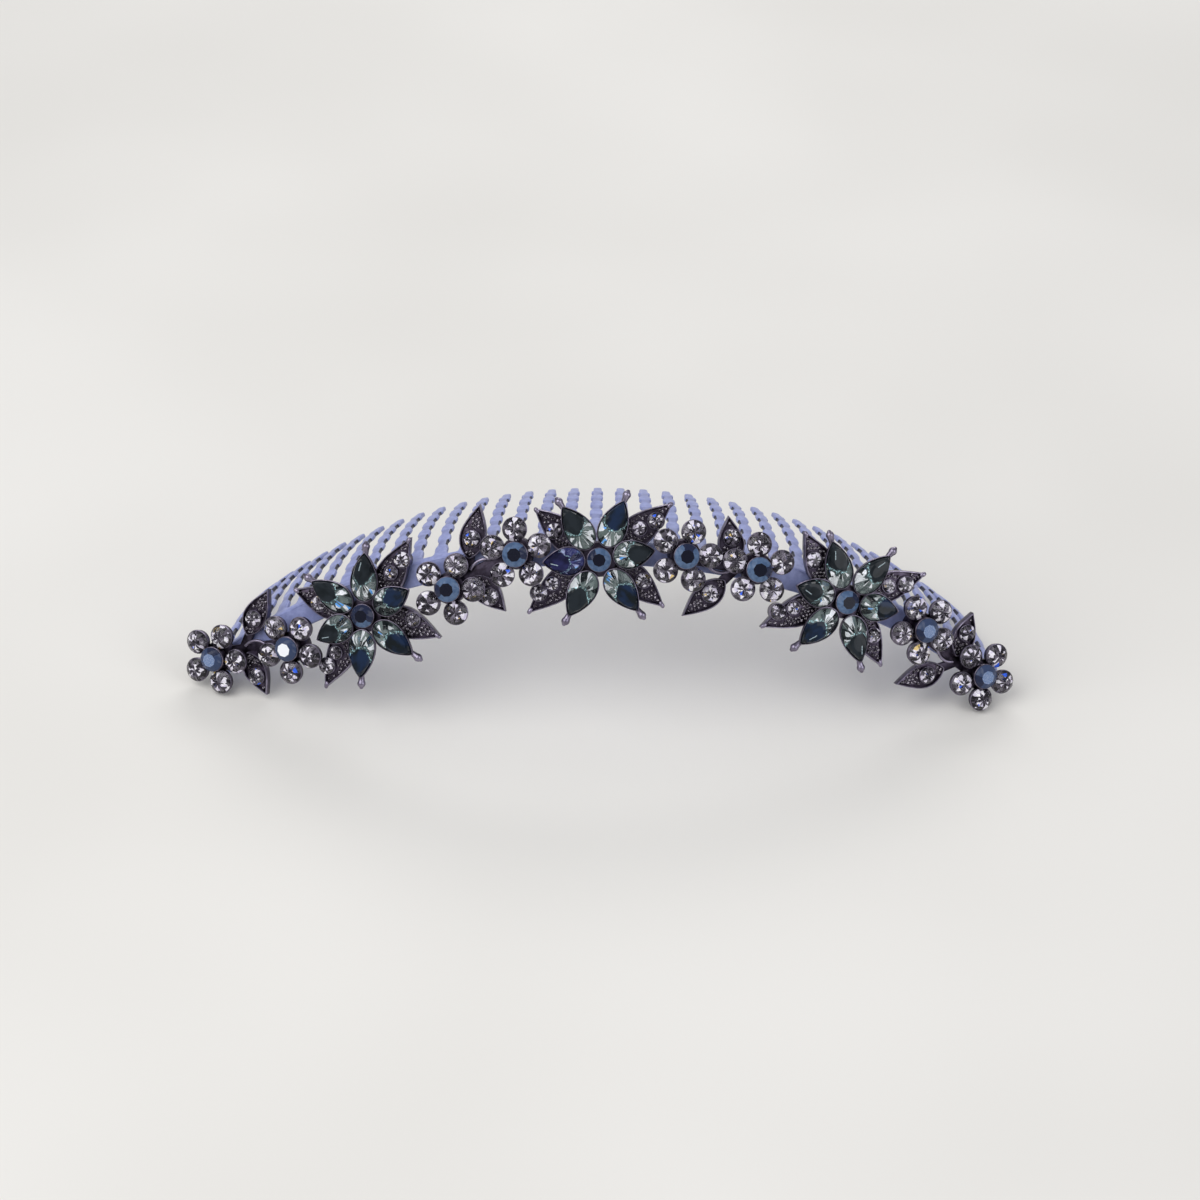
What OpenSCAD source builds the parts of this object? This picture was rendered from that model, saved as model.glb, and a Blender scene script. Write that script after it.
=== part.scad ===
// Tiara comb: an arched metal comb with three large flowers and four sprays of small flowers
// soldered along its front, all set with faceted stones. Millimetres, +Z up, front towards -Y.

/* [Arch] */
// Radius of the line along the face of the band that the ornaments follow
arch_r = 111; // [105:1:125]
// Tilt of the ornaments' face, up from straight forward
face_tilt = 38; // [32:1:45]
// Thickness of the band
band_t = 1.3; // [1.1:0.1:1.6]
// Width of the band's face below the ornaments' line
face_low = 0.6; // [0.5:0.1:3]
// Width of the band's face above the ornaments' line
face_high = 4; // [3:0.1:5]
// Width of the strip behind the bend, which carries the teeth
strip_w = 1.5; // [1:0.5:6]

/* [Teeth] */
// Number of teeth
tooth_count = 34; // [28:1:36]
// Width of a tooth at its root
tooth_w = 2.8; // [2.2:0.1:3]
// Width of a tooth where its smooth end starts
tooth_end_w = 2.4; // [2:0.1:2.6]
// Thickness of a tooth
tooth_t = 1; // [0.8:0.1:1.1]
// Straight distance from the root of a tooth to its tip
tooth_l = 30.5; // [24:0.5:34]
// Angle by which the tip lies inwards of straight back, seen from the root
tooth_drop = 21.5; // [18:0.5:26]
// Angle that a tooth turns through along its length
tooth_bend = 22; // [10:1:34]
// Distance from one notch to the next along the edges of a tooth
notch_pitch = 4.8; // [3:0.1:6]
// Width of a notch
notch_w = 2; // [1:0.1:2.6]
// Depth of a notch
notch_d = 0.4; // [0.3:0.05:0.5]
// Length of the smooth end of a tooth
tip_l = 4.1; // [2:0.1:6]
// Width of the smooth end of a tooth
tip_w = 1.7; // [1.4:0.1:1.9]

/* [Settings] */
// Gap between the band's face and the flat back of an ornament
solder_gap = 0.1; // [0.05:0.05:0.2]
// Gap round each stone in its setting
stone_gap = 0.06; // [0.05:0.01:0.1]
// Wall of a setting
wall = 0.2; // [0.15:0.05:0.25]
// Thickness of the leaves and of the floors under their stones
plate_t = 0.8; // [0.6:0.1:1]
// Height of the raised rim round a leaf, above its floor
rim_h = 0.9; // [0.6:0.1:1.1]
// Width of the raised rim round a leaf
rim_w = 0.5; // [0.4:0.05:0.6]
// Height of the back of the flowers' cups above the back of the ornament
upper_z = 2.2; // [2.1:0.1:2.6]
// Height of a cup
cup_h = 1.7; // [1.5:0.1:2]
// Height from the floor of a small flower's petals to the floor of the cup in its middle
centre_rise = 1.1; // [0.8:0.1:1.4]
// Height from the floor of a large flower's drops to the floor of the cup in its middle
heart_rise = 0.3; // [0:0.1:0.8]

/* [Small flowers] */
// Radius of a clear round stone
round_r = 2.25; // [2.1:0.05:2.35]
// Radius of the blue stone in the middle
blue_r = 2.35; // [2.2:0.05:2.4]
// Distance from the middle of a small flower to the middle of a petal
petal_reach = 4.95; // [4.9:0.05:5.3]
// Distance between the two small flowers of a spray, on average
flower_gap = 15.2; // [14.8:0.1:16]
// Length of the band past the places of its outermost small flowers
band_end = 4.8; // [4:0.2:6]
// Length of the long leaf
long_leaf_l = 11.2; // [10:0.2:12]
// Length of the short leaf
short_leaf_l = 9.6; // [9:0.2:10]
// Width of the leaves of a spray
leaf_w = 5.4; // [4.8:0.1:5.8]
// Radius of the round stone on a leaf
leaf_stone_r = 1.6; // [1.3:0.05:1.7]
// Width of the bar that joins the two small flowers of a spray
bar_w = 3.4; // [2.8:0.1:4]
// Width of the stem that joins the long leaf to the bar
stem_w = 2; // [1.4:0.1:2.4]

/* [Large flowers] */
// Length of a drop-shaped stone
drop_l = 9.6; // [9:0.1:10]
// Length of the two drops of a flower that point along the band, towards its neighbours
side_drop_l = 8; // [7.6:0.1:8.8]
// Width of a drop-shaped stone
drop_w = 5.4; // [5:0.1:5.6]
// Radius of the stone in the middle of a large flower
heart_r = 2.2; // [2:0.05:2.3]
// Radius of the ball at the end of a prong
ball_r = 0.85; // [0.7:0.05:0.95]
// Length of a prong past the wall of its setting, to the middle of the ball
prong_l = 1.1; // [0.8:0.1:1.5]
// Width of a sepal
sepal_w = 6.4; // [5.6:0.1:6.8]
// How far each spray tucks in beside a large flower
tuck = 2.7; // [2:0.1:3]

/* [Hidden] */
$fn = 48;

// Ornaments from left to right, even places being sprays. at: place in steps of the pitch from the
// middle, lift: shift up the face as a share of a petal's reach, turn: turn on the face in degrees,
// left, right: turn of the petals of the small flowers on the spray's own left and right,
// spread: distance between the small flowers as a share of its average
ORNAMENTS = [
    [-3.08, -0.06, 159.8, 9.5, 21.5, 1.17],
    [-2.03, -0.60, 1.3, 0, 0, 1],
    [-0.99, 0.00, 198.5, 29, 8, 1.01],
    [-0.07, 0.14, -0.3, 0, 0, 1],
    [0.88, 0.45, -1, 10.5, 26.5, 0.975],
    [1.93, 0.18, -1.5, 0, 0, 1],
    [2.96, 0.23, -5.4, 7.5, 17.5, 1.145]];

// Directions of the six drops of each large flower from left to right, in degrees from their
// even places a sixth of a turn apart
DROP_TURNS = [
    [8.5, 6.5, 7.5, 6.5, 5.5, 3],
    [10, 7.5, 5.5, 3.5, 2, 8],
    [10.5, 7.5, 7, 3.5, 2, 6.5]];

// Sepals of a large flower. angle: direction, reach: tip from the middle as a share of the drop's
// outer end, sweep: sideways bend of the tip as a share of the width
SEPALS = [
    [36, 1.46, 0.10],
    [147.5, 1.30, -0.22],
    [211, 1.42, 0.34],
    [-28, 1.27, -0.36]];

// Round stones on the sepals. angle and place: direction and distance as a share of the drop's
// outer end, size: radius as a share of a leaf's stone
SEPAL_STONES = [
    [34.5, 1.08, 0.95],
    [37.5, 0.80, 0.8],
    [149, 0.83, 0.92],
    [210, 1.10, 0.95],
    [208.5, 0.84, 0.78],
    [-25.5, 0.78, 0.86]];

function is_spray(i) = i % 2 == 0;
sprays = [for (i = [0:len(ORNAMENTS) - 1]) if (is_spray(i)) i];
flowers = [for (i = [0:len(ORNAMENTS) - 1]) if (!is_spray(i)) i];
sides = ["left", "right"];
drop_count = 6;
petal_count = 5;

// How far a cutter runs past the solid that it cuts
over = 1;

// Cups and settings
cup_r = round_r + stone_gap + wall;
blue_cup_r = blue_r + stone_gap + wall;
heart_cup_r = heart_r + stone_gap + wall;
floor_t = 0.5;
post_bite = 0.8;
post_sink = 0.1;
low_z = solder_gap;
low_floor_z = low_z + plate_t;
rim_z = low_floor_z + rim_h;
cup_z = solder_gap + upper_z;
cup_floor_z = cup_z + floor_t;
cup_top_z = cup_z + cup_h;
centre_floor_z = cup_floor_z + centre_rise;
centre_top_z = cup_top_z + centre_rise;
heart_floor_z = cup_floor_z + heart_rise;
heart_top_z = cup_top_z + heart_rise;
post_h = cup_floor_z - low_z - post_sink;
flower_post_r = petal_reach - cup_r + post_bite;

// Round stones as shares of their radius
back_share = 0.75;
girdle_share = 0.55;
table_share = 0.58;
crown_share = 0.42;
star_count = 8;

// Drops of a large flower. The crown's heights are shares of half the drop's width, and its
// back and table are shares of its outline about a middle along its length.
drop_margin = stone_gap + wall;
drop_clear = 0.25;
drop_in = heart_cup_r + drop_margin + drop_clear;
drop_out = drop_in + drop_l;
hub_bite = 0.6;
flower_hub_r = drop_in + hub_bite;
prong_reach = drop_out + drop_margin + prong_l;
nib_l = 1.3 * ball_r;
prong_r = 0.75 * ball_r;
nib_share = 0.3;
drop_round = 0.55;
drop_point = 0.9;
drop_steps = 9;
drop_wide_at = drop_round / (drop_round + drop_point);
drop_tip_share = 1.4;
drop_mid_share = 0.42;
drop_girdle_share = 0.35;
drop_crown_share = 0.5;
drop_back_share = 0.85;
drop_table_share = 0.45;

// Leaves
leaf_blunt = 0.8;
leaf_sharp = 1.15;
leaf_steps = 12;
leaf_tip_share = 2;
leaf_sweep = 0.12;
stem_share = 0.25;

// Ornaments along the arch
spray_end = flower_gap / 2 + petal_reach + cup_r;
pitch = drop_out + spray_end - tuck;
deg_per_mm = 180 / (PI * arch_r);
band_half = (3 * pitch + flower_gap / 2 + band_end) * deg_per_mm;
function ornament_angle(i) = ORNAMENTS[i][0] * pitch * deg_per_mm;
function ornament_lift(i) = ORNAMENTS[i][1] * petal_reach;
function ornament_turn(i) = ORNAMENTS[i][2];
function spread_gap(i) = ORNAMENTS[i][5] * flower_gap;

// Section of the band as radius and distance forward. The face leans back by the tilt, and the
// strip behind the bend runs on into the root of the teeth.
root_drop = tooth_drop - tooth_bend / 2;
face_up = [cos(face_tilt), -sin(face_tilt)];
face_out = [sin(face_tilt), cos(face_tilt)];
strip_back = [-sin(root_drop), -cos(root_drop)];
strip_out = [cos(root_drop), -sin(root_drop)];
face_mid = [arch_r, 0];
bend_out = face_mid + face_high * face_up;
bend_in = bend_out - band_t * (face_out + strip_out) / (1 + face_out * strip_out);
band_section = [
    face_mid - face_low * face_up,
    bend_out,
    bend_out + strip_w * strip_back,
    bend_out + strip_w * strip_back - band_t * strip_out,
    bend_in,
    face_mid - face_low * face_up - band_t * face_out];

// Teeth: each is an arc in its own plane through the axis of the arch
tooth_root = bend_out + strip_w * strip_back - band_t / 2 * strip_out;
tooth_arc_r = tooth_l / (2 * sin(tooth_bend / 2));
tooth_in = 1.6;
tooth_end_share = 0.3;
tooth_end_margin = tooth_end_share * tooth_w;
notch_floor_share = 0.4;
tooth_facets = 240;
tooth_half = band_half - (tooth_end_margin + tooth_w / 2) * deg_per_mm;
tip_x = tooth_l - tip_w / 2;
tip_rise = sqrt(pow(tooth_arc_r, 2) - pow(tip_x - tooth_l / 2, 2)) - tooth_arc_r * cos(tooth_bend / 2);
tip_mid = tooth_root + tip_x * [-sin(tooth_drop), -cos(tooth_drop)]
    + tip_rise * [cos(tooth_drop), -sin(tooth_drop)];
tip_drop = tooth_drop + asin((tip_x - tooth_l / 2) / tooth_arc_r);
function tooth_angle(i) = tooth_half * (2 * i / (tooth_count - 1) - 1);

// Places in the arch's own frame: x along the length, y up at the middle, z forward
function turned(a, p) = [cos(a) * p[0] - sin(a) * p[1], sin(a) * p[0] + cos(a) * p[1]];
function on_arch(a, p) = let (
    r = arch_r + p[1] * face_up[0] + p[2] * face_out[0],
    forward = p[1] * face_up[1] + p[2] * face_out[1])
    [r * sin(a) + p[0] * cos(a), r * cos(a) - p[0] * sin(a), forward];
function flower_x(i, side) = (side == "left" ? -1 : 1) * spread_gap(i) / 2;
function petal_turn(i, side) = ORNAMENTS[i][side == "left" ? 3 : 4];
function petal_angle(i, side, k) = petal_turn(i, side) + 360 * k / petal_count;
function petal_place(i, side, k, z) = let (
    a = petal_angle(i, side, k),
    p = turned(ornament_turn(i), [flower_x(i, side) + petal_reach * cos(a), petal_reach * sin(a)]))
    on_arch(ornament_angle(i), [p[0], p[1] + ornament_lift(i), z]);
function ornament_normal(i) = on_arch(ornament_angle(i), [0, 0, 1]) - on_arch(ornament_angle(i), [0, 0, 0]);

// How far a ring of cups reaches along a direction, as the lowest of their rims
function rim_drop(i, way) = cup_r * sqrt(max(0, 1 - pow(ornament_normal(i) * way, 2)));
function lowest(i, way) = min([for (s = sides, k = [0:petal_count - 1], z = [cup_z, cup_top_z])
    petal_place(i, s, k, z) * way - rim_drop(i, way)]);
first = sprays[0];
last = sprays[len(sprays) - 1];

// Rest: the comb stands on the cups of its two end flowers and on the tips of its end teeth
tip_face_up = cos(tip_drop) * cos(tooth_half);
tip_low = [tip_mid[0] * cos(tooth_half) - tip_w / 2 * sqrt(1 - pow(tip_face_up, 2))
    - tooth_t / 2 * tip_face_up, tip_mid[1]];
front_low = [min(lowest(first, [0, 1, 0]), lowest(last, [0, 1, 0])),
    flower_gap / 4 * face_out[1]];
lean = atan2(front_low[0] - tip_low[0], front_low[1] - tip_low[1]);
up = [0, cos(lean), -sin(lean)];
back = [0, -sin(lean), -cos(lean)];
tip_back = [0, tip_low[0], tip_mid[1] - tip_w / 2] * back;
function prong_end(i, k) = let (
    p = turned(ornament_turn(i) + drop_angle(i, k), [prong_reach + nib_l, 0]))
    on_arch(ornament_angle(i), [p[0], p[1] + ornament_lift(i), cup_floor_z]);
flower_front = min([for (i = flowers, k = [0:drop_count - 1]) if (!is_side(k)) prong_end(i, k) * back]);
rest_x = (lowest(first, [1, 0, 0]) - lowest(last, [-1, 0, 0])) / 2;
rest_y = (tip_back + flower_front) / 2;
rest_z = min(lowest(first, up), lowest(last, up), [0, tip_low[0], tip_low[1]] * up);

module stand() {
    translate([-rest_x, -rest_y, -rest_z]) rotate([90 + lean, 0, 0]) children();
}

module at_ornament(i) {
    stand() rotate([0, 0, -ornament_angle(i)]) translate([0, arch_r, 0]) rotate([-face_tilt, 0, 0])
        translate([0, ornament_lift(i), 0]) rotate([0, 0, ornament_turn(i)]) children();
}

// Outline of a drop: round at the inner end, pointed at the outer end
function drop_bulge(s) = pow(s, drop_round) * pow(1 - s, drop_point);
function drop_half(s) = drop_bulge(s) / drop_bulge(drop_wide_at);
function drop_outline(l, w) = let (
    n = drop_steps,
    at = [for (j = [0:n]) (1 - cos(180 * j / n)) / 2]) concat(
    [for (j = [0:n]) [l * at[j], w / 2 * drop_half(at[j])]],
    [for (j = [n - 1:-1:1]) [l * at[j], -w / 2 * drop_half(at[j])]]);

// Outline of a leaf, shrunk by a margin m all round: pointed at both ends, its tip swept sideways
function leaf_half(s) = pow(sin(180 * pow(s, leaf_blunt)), leaf_sharp);
function leaf_outline(l, w, sweep, m) = let (
    n = leaf_steps,
    at = [for (j = [0:n]) j / n],
    x = [for (s = at) m + s * (l - (1 + leaf_tip_share) * m)],
    mid = [for (d = x) sweep * pow(d / l, 2)]) concat(
    [for (j = [0:n]) [x[j], mid[j] + (w / 2 - m) * leaf_half(at[j])]],
    [for (j = [n - 1:-1:1]) [x[j], mid[j] - (w / 2 - m) * leaf_half(at[j])]]);

// A closed solid through rings of points, each with as many points as the others
module rings(list) {
    n = len(list[0]);
    points = [for (ring = list, p = ring) p];
    side = [for (k = [0:len(list) - 2], j = [0:n - 1])
        [k * n + j, (k + 1) * n + j, (k + 1) * n + (j + 1) % n, k * n + (j + 1) % n]];
    polyhedron(points, concat(
        [[for (j = [0:n - 1]) j]],
        side,
        [[for (j = [n - 1:-1:0]) (len(list) - 1) * n + j]]));
}

// A round cut stone: a table, eight star facets, sixteen girdle facets and a plain back
module round_stone(r) {
    n = star_count;
    back_r = back_share * r;
    table_r = table_share * r;
    girdle_z = girdle_share * r;
    table_z = girdle_z + crown_share * r;
    back = [for (j = [0:2 * n - 1]) [back_r * cos(180 * j / n), back_r * sin(180 * j / n), 0]];
    girdle = [for (j = [0:2 * n - 1]) [r * cos(180 * j / n), r * sin(180 * j / n), girdle_z]];
    table = [for (j = [0:n - 1]) [table_r * cos(360 * j / n), table_r * sin(360 * j / n), table_z]];
    g = 2 * n;
    t = 4 * n;
    polyhedron(concat(back, girdle, table), concat(
        [[for (j = [0:2 * n - 1]) j]],
        [for (j = [0:2 * n - 1]) [j, g + j, g + (j + 1) % g, (j + 1) % g]],
        [for (j = [0:n - 1]) [g + 2 * j, t + j, g + 2 * j + 1]],
        [for (j = [0:n - 1]) [g + 2 * j + 1, t + j, t + (j + 1) % n]],
        [for (j = [0:n - 1]) [g + 2 * j + 1, t + (j + 1) % n, g + (2 * j + 2) % g]],
        [[for (j = [n - 1:-1:0]) t + j]]));
}

// A drop-shaped cut stone with a flat back, a girdle and a small table
module drop_stone(l) {
    outline = drop_outline(l, drop_w);
    middle = [drop_mid_share * l, 0];
    girdle_z = drop_girdle_share * drop_w / 2;
    table_z = girdle_z + drop_crown_share * drop_w / 2;
    rings([
        [for (p = outline) [each middle + drop_back_share * (p - middle), 0]],
        [for (p = outline) [each p, girdle_z]],
        [for (p = outline) [each middle + drop_table_share * (p - middle), table_z]]]);
}

// A round cup with a bore for its stone, its floor at z
module cup(outer_r, stone_r, bottom, bore_floor, top) {
    difference() {
        translate([0, 0, bottom]) cylinder(r = outer_r, h = top - bottom);
        translate([0, 0, bore_floor]) cylinder(r = stone_r + stone_gap, h = top);
    }
}

// A leaf: a floor with a raised rim
module leaf(l, w, sweep) {
    difference() {
        translate([0, 0, low_z]) linear_extrude(rim_z - low_z) polygon(leaf_outline(l, w, sweep, 0));
        translate([0, 0, low_floor_z]) linear_extrude(rim_h + over)
            polygon(leaf_outline(l, w, sweep, rim_w));
    }
}

// The stem that joins a leaf to the bar between the flowers
module stem(l) {
    translate([-l, -stem_w / 2, low_z]) cube([2 * l, stem_w, plate_t]);
}

module low_cup(r) {
    cup(r + drop_margin, r, low_z, low_floor_z, rim_z);
}

module low_bore(r) {
    translate([0, 0, low_floor_z]) cylinder(r = r + stone_gap, h = rim_h + over);
}

// Leaves of a spray: direction in degrees, tip as a share of the gap between the small flowers,
// and the round stone's distance back from the tip as a share of the leaf's length
long_leaf_dir = -126;
long_leaf_tip = flower_gap * [-0.325, -0.82];
long_stone_share = 0.64;
short_leaf_dir = 101;
short_leaf_tip = flower_gap * [0.035, 0.617];
short_stone_share = 0.45;
function back_from(tip, dir, by) = tip - by * [cos(dir), sin(dir)];
long_stone = back_from(long_leaf_tip, long_leaf_dir, long_stone_share * long_leaf_l);
short_stone = back_from(short_leaf_tip, short_leaf_dir, short_stone_share * short_leaf_l);

module spray_setting(i) {
    color([0.22, 0.19, 0.27]) at_ornament(i) difference() {
        union() {
            translate([flower_x(i, "left"), -bar_w / 2, low_z]) cube([spread_gap(i), bar_w, plate_t]);
            translate(back_from(long_leaf_tip, long_leaf_dir, long_leaf_l))
                rotate([0, 0, long_leaf_dir]) {
                    leaf(long_leaf_l, leaf_w, -leaf_sweep * leaf_w);
                    stem(stem_share * long_leaf_l);
                }
            translate(back_from(short_leaf_tip, short_leaf_dir, short_leaf_l))
                rotate([0, 0, short_leaf_dir]) leaf(short_leaf_l, leaf_w, leaf_sweep * leaf_w);
            for (p = [long_stone, short_stone]) translate(p) low_cup(leaf_stone_r);
            for (s = sides) translate([flower_x(i, s), 0, 0]) small_flower(i, s);
        }
        for (p = [long_stone, short_stone]) translate(p) low_bore(leaf_stone_r);
    }
}

module small_flower(i, side) {
    translate([0, 0, low_z]) cylinder(r = flower_post_r, h = post_h);
    for (k = [0:petal_count - 1]) rotate([0, 0, petal_angle(i, side, k)])
        translate([petal_reach, 0, 0]) cup(cup_r, round_r, cup_z, cup_floor_z, cup_top_z);
    cup(blue_cup_r, blue_r, cup_z, centre_floor_z, centre_top_z);
}

module petal_stones(i, side) {
    color([0.86, 0.85, 0.9]) at_ornament(i) translate([flower_x(i, side), 0, cup_floor_z + stone_gap])
        for (k = [0:petal_count - 1]) rotate([0, 0, petal_angle(i, side, k)])
            translate([petal_reach, 0, 0]) round_stone(round_r);
}

module blue_stone(i, side) {
    color([0.3, 0.4, 0.55]) at_ornament(i)
        translate([flower_x(i, side), 0, centre_floor_z + stone_gap]) round_stone(blue_r);
}

module leaf_stones(i) {
    color([0.8, 0.78, 0.85]) at_ornament(i)
        for (p = [long_stone, short_stone]) translate([p[0], p[1], low_floor_z + stone_gap])
            round_stone(leaf_stone_r);
}

function drop_angle(i, k) = DROP_TURNS[(i - 1) / 2][k] + 360 * k / drop_count;
function is_side(k) = k % (drop_count / 2) == 0;
function drop_length(k) = is_side(k) ? side_drop_l : drop_l;
function sepal_stone_place(row) = row[1] * drop_out * [cos(row[0]), sin(row[0])];
function sepal_stone_r(row) = row[2] * leaf_stone_r;

module flower_setting(i) {
    color([0.2, 0.18, 0.25]) at_ornament(i) difference() {
        union() {
            translate([0, 0, low_z]) cylinder(r = flower_hub_r, h = post_h);
            for (row = SEPALS) rotate([0, 0, row[0]]) translate([drop_in, 0, 0])
                leaf(row[1] * drop_out - drop_in, sepal_w, row[2] * sepal_w);
            for (row = SEPAL_STONES) translate(sepal_stone_place(row)) low_cup(sepal_stone_r(row));
            for (k = [0:drop_count - 1]) rotate([0, 0, drop_angle(i, k)])
                drop_setting(drop_length(k), !is_side(k));
            cup(heart_cup_r, heart_r, cup_z, heart_floor_z, heart_top_z);
        }
        for (row = SEPAL_STONES) translate(sepal_stone_place(row)) low_bore(sepal_stone_r(row));
    }
}

// Outline of a drop in its place along the flower's arm, grown by m all round
module grown_drop(l, m) {
    translate([drop_in - m, 0]) polygon(drop_outline(l + (1 + drop_tip_share) * m, drop_w + 2 * m));
}

// The setting of one drop, with a ball prong past its tip
module drop_setting(l, prong) {
    prong_z = (cup_z + cup_top_z) / 2;
    difference() {
        translate([0, 0, cup_z]) linear_extrude(cup_h) grown_drop(l, drop_margin);
        translate([0, 0, cup_floor_z]) linear_extrude(cup_h) grown_drop(l, stone_gap);
    }
    if (prong) {
        translate([drop_out + stone_gap, 0, prong_z]) rotate([0, 90, 0])
            cylinder(r = prong_r, h = prong_l + drop_margin);
        translate([prong_reach, 0, prong_z]) sphere(r = ball_r);
        translate([prong_reach, 0, prong_z]) rotate([0, 90, 0])
            cylinder(r1 = prong_r, r2 = nib_share * prong_r, h = nib_l);
    }
}

module drop_stone_at(i, k) {
    color([0.3, 0.36, 0.36]) at_ornament(i) rotate([0, 0, drop_angle(i, k)])
        translate([drop_in, 0, cup_floor_z + stone_gap]) drop_stone(drop_length(k));
}

module heart_stone(i) {
    color([0.25, 0.33, 0.45]) at_ornament(i) translate([0, 0, heart_floor_z + stone_gap])
        round_stone(heart_r);
}

module sepal_stones(i) {
    color([0.8, 0.78, 0.85]) at_ornament(i) for (row = SEPAL_STONES)
        translate([each sepal_stone_place(row), low_floor_z + stone_gap])
            round_stone(sepal_stone_r(row));
}

// Outline of a tooth seen from outside: notched edges that taper, and a smooth rounded end
function tooth_half_w(x) = (tooth_w + (tooth_end_w - tooth_w) * max(0, x) / (tooth_l - tip_l)) / 2;
function tooth_outline() = let (
    n = floor((tooth_l - tip_l) / notch_pitch),
    shoulder = tooth_l - tip_l,
    half = tip_w / 2,
    edge = [for (j = [n - 1:-1:0]) let (x = shoulder - (j + 0.5) * notch_pitch, w = notch_w / 2) each [
        [x - w, tooth_half_w(x - w)],
        [x - notch_floor_share * w, tooth_half_w(x) - notch_d],
        [x + notch_floor_share * w, tooth_half_w(x) - notch_d],
        [x + w, tooth_half_w(x + w)]]],
    end = [for (a = [90:-30:-90]) [tooth_l - half + half * cos(a), half * sin(a)]],
    side = concat([[-tooth_in, tooth_half_w(0)]], edge, [[shoulder, tooth_half_w(shoulder)]]))
    concat(side, end, [for (j = [len(side) - 1:-1:0]) [side[j][0], -side[j][1]]]);

// A tooth along x from its root, bent down about y
module tooth() {
    intersection() {
        translate([tooth_l / 2, 0, -tooth_arc_r * cos(tooth_bend / 2)]) rotate([90, 0, 0])
            linear_extrude(2 * tooth_w, center = true) difference() {
                circle(r = tooth_arc_r + tooth_t / 2, $fn = tooth_facets);
                circle(r = tooth_arc_r - tooth_t / 2, $fn = tooth_facets);
            }
        linear_extrude(tooth_arc_r, center = true) polygon(tooth_outline());
    }
}

module comb() {
    color([0.58, 0.6, 0.8]) stand() {
        rotate([0, 0, 90 - band_half]) rotate_extrude(angle = 2 * band_half, $fn = 360)
            polygon(band_section);
        for (i = [0:tooth_count - 1]) rotate([0, 0, -tooth_angle(i)])
            translate([0, tooth_root[0], tooth_root[1]]) rotate([-tooth_drop, 0, 0])
                rotate([0, 90, 90]) tooth();
    }
}

comb();
for (n = [1:len(sprays)]) {
    i = sprays[n - 1];
    spray_setting(i);
    leaf_stones(i);
    for (s = sides) {
        blue_stone(i, s);
        petal_stones(i, s);
    }
}
for (n = [1:len(flowers)]) {
    i = flowers[n - 1];
    flower_setting(i);
    heart_stone(i);
    sepal_stones(i);
    for (k = [1:drop_count])
        drop_stone_at(i, k - 1);
}
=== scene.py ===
"""Looks of the tiara comb: comb, settings and stones, in fine detail, in the CAD part's frame."""

import bpy
import numpy as np
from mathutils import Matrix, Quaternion, Vector


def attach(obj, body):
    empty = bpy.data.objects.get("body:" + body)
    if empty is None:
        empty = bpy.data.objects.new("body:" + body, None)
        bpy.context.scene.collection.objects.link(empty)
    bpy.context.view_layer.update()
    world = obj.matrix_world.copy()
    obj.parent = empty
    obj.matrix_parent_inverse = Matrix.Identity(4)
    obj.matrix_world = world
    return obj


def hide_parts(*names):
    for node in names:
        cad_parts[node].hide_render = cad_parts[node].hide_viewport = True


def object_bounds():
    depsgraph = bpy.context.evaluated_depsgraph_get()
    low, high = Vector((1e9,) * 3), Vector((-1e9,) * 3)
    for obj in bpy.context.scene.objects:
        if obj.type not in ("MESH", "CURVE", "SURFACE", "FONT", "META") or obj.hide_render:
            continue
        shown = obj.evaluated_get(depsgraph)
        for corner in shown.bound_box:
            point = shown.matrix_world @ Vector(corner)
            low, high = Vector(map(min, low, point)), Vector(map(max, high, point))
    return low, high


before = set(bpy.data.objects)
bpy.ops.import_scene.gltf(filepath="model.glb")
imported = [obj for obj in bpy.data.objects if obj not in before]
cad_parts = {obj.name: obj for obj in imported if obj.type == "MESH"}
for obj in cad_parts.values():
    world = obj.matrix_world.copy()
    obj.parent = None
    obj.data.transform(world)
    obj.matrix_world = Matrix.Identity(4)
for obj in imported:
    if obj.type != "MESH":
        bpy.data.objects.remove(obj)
cad_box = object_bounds()

MM = 0.001

# Sizes of the CAD source, in mm and degrees
ARCH_R, FACE_TILT, LEAN = 111, 38, 6.59359
REST = np.array([-1.32778, 0.652828, 75.8202])
PITCH, BAND_T, BAND_HALF = 24.93, 1.3, 45.0056
FACE_LOW, FACE_HIGH, STRIP_W, ROOT_DROP = 0.6, 4, 1.5, 10.5
TOOTH_COUNT, TOOTH_HALF, TOOTH_ROOT = 34, 43.8493, (113.24, -3.81908)
TOOTH_L, TOOTH_W, TOOTH_END_W, TOOTH_T = 30.5, 2.8, 2.4, 1.0
TOOTH_DROP, TOOTH_BEND, TOOTH_IN = 21.5, 22, 1.6
NOTCH_PITCH, NOTCH_D, TIP_L, TIP_W = 4.8, 0.4, 4.1, 1.7
SOLDER_GAP, STONE_GAP, WALL = 0.1, 0.06, 0.2
PLATE_T, RIM_H, UPPER_Z, CUP_H, FLOOR_T = 0.8, 0.9, 2.2, 1.7, 0.5
CENTRE_RISE, HEART_RISE = 1.1, 0.3
ROUND_R, BLUE_R, HEART_R, LEAF_STONE_R = 2.25, 2.35, 2.2, 1.6
PETAL_COUNT, DROP_COUNT = 5, 6
PETAL_REACH, FLOWER_GAP, BAR_W, STEM_W = 4.95, 15.2, 3.4, 2
LONG_LEAF_L, SHORT_LEAF_L, LEAF_W, SEPAL_W = 11.2, 9.6, 5.4, 6.4
DROP_L, SIDE_DROP_L, DROP_W, DROP_IN = 9.6, 8, 5.4, 2.97
DROP_ROUND, DROP_POINT = 0.55, 0.9
BALL_R, PRONG_L = 0.85, 1.1
POST_BITE, POST_SINK, HUB_BITE, STEM_SHARE = 0.8, 0.1, 0.6, 0.25

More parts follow.
